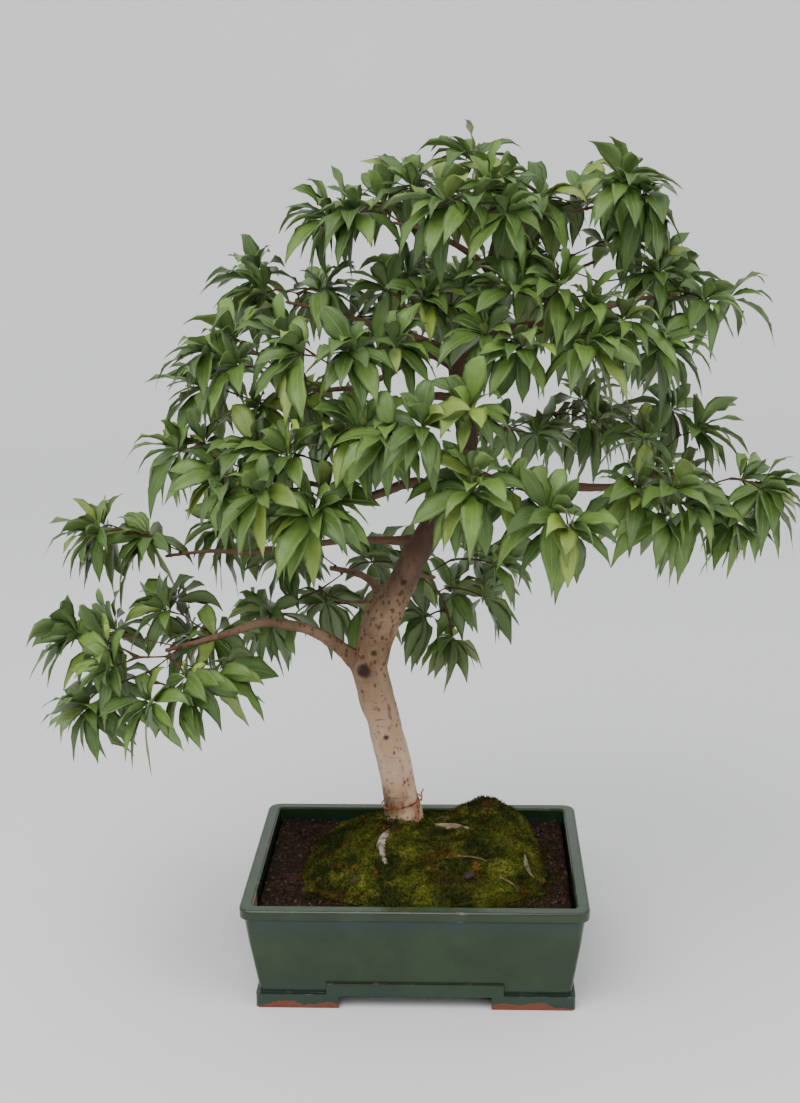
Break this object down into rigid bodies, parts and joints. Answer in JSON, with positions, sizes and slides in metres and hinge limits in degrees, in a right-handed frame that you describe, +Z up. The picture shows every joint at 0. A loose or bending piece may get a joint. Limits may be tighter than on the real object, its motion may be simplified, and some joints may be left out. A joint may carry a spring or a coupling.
{
  "type": "bonsai tree in pot",
  "caption": "Broad-leaved bonsai tree with a leaning trunk and leafy side branches, standing on a moss mound in a rectangular glazed pot on low feet.",
  "frame": {"origin": "middle of the pot on the plane that its feet stand on", "axes": "+Z up, +X to the right along the pot's length, front of the pot facing -Y"},
  "size_m": [0.7267, 0.4649, 0.8252],
  "materials": {
    "glaze": "glossy dark green glaze over stoneware, darker and bluer under the lip, bare red-brown clay under the feet",
    "mesh_plastic": "black drain netting",
    "pumice": "coarse drainage grit",
    "soil": "dark crumbly granules",
    "moss": "short green moss with yellow and brown patches",
    "bark": "pale tan bark, darker and rougher towards the top",
    "leaf": "mid to dark green leaf with a grey sheen and a paler midrib",
    "copper": "orange copper wire",
    "pebble": "dark brown stone",
    "dark_bark": "dark flat chip",
    "dry_leaf": "dull grey-olive dead leaf",
    "dry_wood": "pale dry twig"
  },
  "bodies": {
    "root": {"bark_chip": "dark_bark", "copper_wire": "copper", "drain_mesh_left": "mesh_plastic", "drain_mesh_right": "mesh_plastic", "drainage_gravel": "pumice", "fallen_leaf": "dry_leaf", "fallen_twig_left": "dry_wood", "fallen_twig_middle": "dry_wood", "fallen_twig_right": "dry_wood", "foliage_apex_1": "leaf", "foliage_apex_2": "leaf", "foliage_apex_3": "leaf", "foliage_apex_left_1": "leaf", "foliage_apex_left_2": "leaf", "foliage_apex_right_1": "leaf", "foliage_apex_right_2": "leaf", "foliage_back_1": "leaf", "foliage_back_2": "leaf", "foliage_back_left_1": "leaf", "foliage_back_left_2": "leaf", "foliage_back_left_3": "leaf", "foliage_back_low_1": "leaf", "foliage_back_low_2": "leaf", "foliage_back_right_1": "leaf", "foliage_back_right_2": "leaf", "foliage_front_1": "leaf", "foliage_front_2": "leaf", "foliage_front_left_1": "leaf", "foliage_left_front_1": "leaf", "foliage_left_front_2": "leaf", "foliage_left_front_3": "leaf", "foliage_left_mid_1": "leaf", "foliage_left_mid_2": "leaf", "foliage_left_middle_1": "leaf", "foliage_left_middle_2": "leaf", "foliage_left_top_1": "leaf", "foliage_left_top_2": "leaf", "foliage_left_top_3": "leaf", "foliage_left_upper_1": "leaf", "foliage_left_upper_2": "leaf", "foliage_low_left_1": "leaf", "foliage_low_left_2": "leaf", "foliage_low_left_3": "leaf", "foliage_low_left_4": "leaf", "foliage_right_back_1": "leaf", "foliage_right_back_2": "leaf", "foliage_right_mid_1": "leaf", "foliage_right_mid_2": "leaf", "foliage_right_mid_3": "leaf", "foliage_right_mid_4": "leaf", "foliage_right_upper_1": "leaf", "foliage_right_upper_2": "leaf", "foliage_right_upper_3": "leaf", "foliage_right_upper_4": "leaf", "moss_mound": "moss", "pot": "glaze", "soil": "soil", "stone": "pebble", "trunk_and_branches": "bark"}
  },
  "joints": []
}
